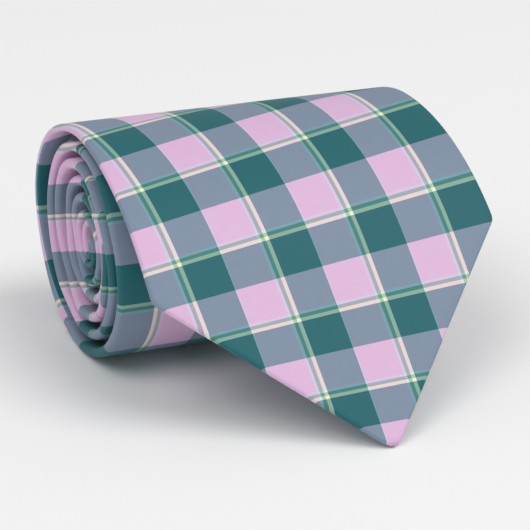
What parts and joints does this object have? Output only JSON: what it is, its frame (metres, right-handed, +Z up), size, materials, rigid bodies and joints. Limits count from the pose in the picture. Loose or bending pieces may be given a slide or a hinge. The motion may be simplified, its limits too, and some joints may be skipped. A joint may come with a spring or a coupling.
{
  "type": "necktie",
  "caption": "Wide plaid necktie, folded near its middle and rolled up on its side, with the wide blade's pointed end hanging from the top of the roll to the table.",
  "frame": {"origin": "centre of the bounding box's footprint, on the surface the roll and the point rest on", "axes": "+X along the roll's axis from the flush end to the stepped end, -Y towards the hanging point, +Z up"},
  "size_m": [0.111, 0.1288, 0.0676],
  "materials": {
    "shell": "printed satin-weave polyester, plaid of pink, teal, pale blue, green and cream",
    "tipping": "smooth dark teal lining satin",
    "interlining": "brushed off-white canvas",
    "thread": "twisted polyester sewing thread",
    "label": "plain woven tape without any text"
  },
  "bodies": {
    "roll": {"blade_shell": "shell", "blade_interlining": "interlining", "blade_seam_thread": "thread", "blade_neck_seam": "thread", "neck_shell": "shell", "neck_seam_thread": "thread", "neck_tail_seam": "thread", "tail_shell": "shell", "tail_interlining": "interlining", "tail_seam_thread": "thread", "interlining_join": "thread", "tail_tipping": "tipping", "tail_bar_tack": "thread", "keeper_loop": "shell", "keeper_stitches": "thread", "maker_label": "label", "label_stitches": "thread"},
    "blade_end": {"blade_point_shell": "shell", "blade_point_interlining": "interlining", "blade_tipping": "tipping", "blade_bar_tack": "thread", "blade_point_seam_thread": "thread"}
  },
  "joints": [
    {"name": "blade_lift", "type": "hinge", "parent": "roll", "child": "blade_end", "pos_m": [0, 0.02566, 0.0676], "axis": [-1, 0, 0], "range_deg": [0, 80]}
  ]
}
